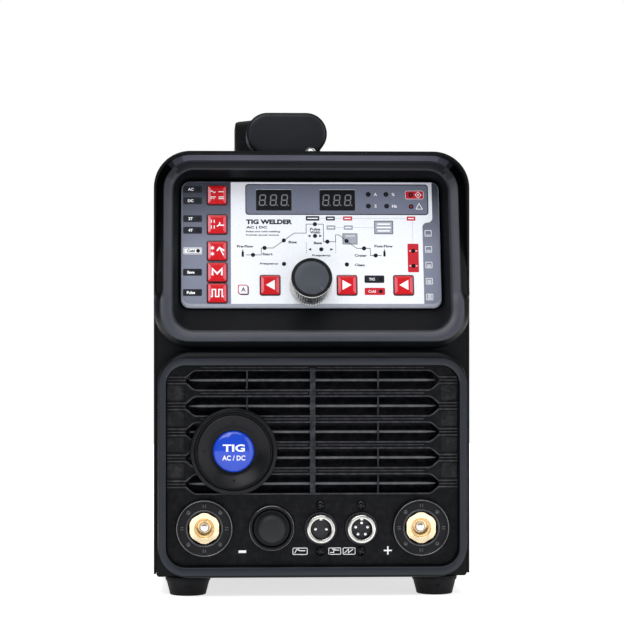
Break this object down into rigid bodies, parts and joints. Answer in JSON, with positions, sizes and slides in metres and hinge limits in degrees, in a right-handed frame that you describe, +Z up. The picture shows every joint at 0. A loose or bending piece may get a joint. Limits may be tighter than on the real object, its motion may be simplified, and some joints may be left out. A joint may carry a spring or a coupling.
{
  "type": "tig welding machine",
  "caption": "Portable inverter welding machine: sheet-metal case, leaning control hood, louvred front with cable sockets, carry handle, rear fan and rubber feet.",
  "frame": {"origin": "on the surface that the feet stand on, under the middle of the machine's overall box", "axes": "+Z up, the front faces -Y, +X to the right seen from the front"},
  "size_m": [0.216, 0.461, 0.3465],
  "materials": {
    "bezel_plastic": "fine textured, satin",
    "panel_overlay": "smooth printed overlay",
    "red_key": "satin moulded",
    "display_window": "gloss",
    "knob_aluminium": "knurled, anodised",
    "black_plastic": "moulded, satin",
    "black_rubber": "matt",
    "brass": "machined",
    "bright_metal": "bright plated",
    "blackened_screw": "blackened",
    "steel": "plain",
    "painted_case": "fine textured powder coat",
    "blue_badge": "domed clear resin over blue",
    "aluminium": "extruded",
    "circuit_board": "solder resist",
    "copper_winding": "varnished wire"
  },
  "bodies": {
    "root": {"upper_hood_bezel": "bezel_plastic", "lower_front_bezel": "bezel_plastic", "badge_ring": "bezel_plastic", "control_panel_plate": "panel_overlay", "current_display": "display_window", "value_display": "display_window", "negative_socket_body": "black_plastic", "positive_socket_body": "black_plastic", "gas_outlet_fitting": "black_plastic", "torch_connector_insert": "black_plastic", "pedal_connector_insert": "black_plastic", "handle_front_block": "black_plastic", "handle_grip": "black_plastic", "handle_rear_block": "black_plastic", "fan_frame": "black_plastic", "power_switch_body": "black_plastic", "mains_cable_gland": "black_plastic", "front_left_foot": "black_rubber", "front_right_foot": "black_rubber", "rear_left_foot": "black_rubber", "rear_right_foot": "black_rubber", "negative_brass_insert": "brass", "positive_brass_insert": "brass", "gas_inlet_nozzle": "brass", "earth_stud": "brass", "torch_connector_shell": "bright_metal", "pedal_connector_shell": "bright_metal", "hood_screw": "bright_metal", "torch_connector_lower_screw": "blackened_screw", "torch_connector_upper_screw": "blackened_screw", "pedal_connector_lower_screw": "blackened_screw", "pedal_connector_upper_screw": "blackened_screw", "encoder_body": "steel", "fan_guard": "steel", "gas_solenoid_valve": "steel", "case_cover": "painted_case", "base_pan": "painted_case", "rear_panel": "painted_case", "front_chassis_plate": "painted_case", "badge_disc": "blue_badge", "heatsink": "aluminium", "control_board": "circuit_board", "power_board": "circuit_board", "main_transformer": "copper_winding", "output_inductor": "copper_winding", "high_frequency_coil": "copper_winding"},
    "knob": {"encoder_knob": "knob_aluminium", "knob_cap": "black_plastic", "encoder_shaft": "steel"},
    "fan": {"fan_impeller": "black_plastic"},
    "rocker": {"power_rocker": "red_key"},
    "gas_cap": {"gas_outlet_cap": "black_rubber"},
    "output_mode_key": {"output_mode_key": "red_key"},
    "trigger_mode_key": {"trigger_mode_key": "red_key"},
    "cold_weld_key": {"cold_weld_key": "red_key"},
    "memory_key": {"memory_key": "red_key"},
    "pulse_key": {"pulse_key": "red_key"},
    "previous_key": {"previous_key": "red_key"},
    "next_key": {"next_key": "red_key"},
    "select_key": {"select_key": "red_key"}
  },
  "joints": [
    {"name": "knob_turn", "type": "hinge", "parent": "root", "child": "knob", "pos_m": [-0.0008, -0.20082, 0.21123], "axis": [0, -0.9659, 0.2588], "continuous": true},
    {"name": "output_mode_key_press", "type": "slide", "parent": "root", "child": "output_mode_key", "axis": [0, 0.9659, -0.2588], "range_m": [0, 0.0008], "stiffness_N_per_m": 1500},
    {"name": "trigger_mode_key_press", "type": "slide", "parent": "root", "child": "trigger_mode_key", "axis": [0, 0.9659, -0.2588], "range_m": [0, 0.0008], "stiffness_N_per_m": 1500},
    {"name": "cold_weld_key_press", "type": "slide", "parent": "root", "child": "cold_weld_key", "axis": [0, 0.9659, -0.2588], "range_m": [0, 0.0008], "stiffness_N_per_m": 1500},
    {"name": "memory_key_press", "type": "slide", "parent": "root", "child": "memory_key", "axis": [0, 0.9659, -0.2588], "range_m": [0, 0.0008], "stiffness_N_per_m": 1500},
    {"name": "pulse_key_press", "type": "slide", "parent": "root", "child": "pulse_key", "axis": [0, 0.9659, -0.2588], "range_m": [0, 0.0008], "stiffness_N_per_m": 1500},
    {"name": "previous_key_press", "type": "slide", "parent": "root", "child": "previous_key", "axis": [0, 0.9659, -0.2588], "range_m": [0, 0.0008], "stiffness_N_per_m": 1500},
    {"name": "next_key_press", "type": "slide", "parent": "root", "child": "next_key", "axis": [0, 0.9659, -0.2588], "range_m": [0, 0.0008], "stiffness_N_per_m": 1500},
    {"name": "select_key_press", "type": "slide", "parent": "root", "child": "select_key", "axis": [0, 0.9659, -0.2588], "range_m": [0, 0.0008], "stiffness_N_per_m": 1500},
    {"name": "gas_cap_pull", "type": "slide", "parent": "root", "child": "gas_cap", "axis": [0, -1, 0], "range_m": [0, 0.015]},
    {"name": "power_rocker_tilt", "type": "hinge", "parent": "root", "child": "rocker", "pos_m": [-0.058, 0.2055, 0.262], "axis": [0, 0, 1], "range_deg": [-14, 0]},
    {"name": "fan_spin", "type": "hinge", "parent": "root", "child": "fan", "pos_m": [0, 0.1907, 0.165], "axis": [0, 1, 0], "continuous": true}
  ]
}
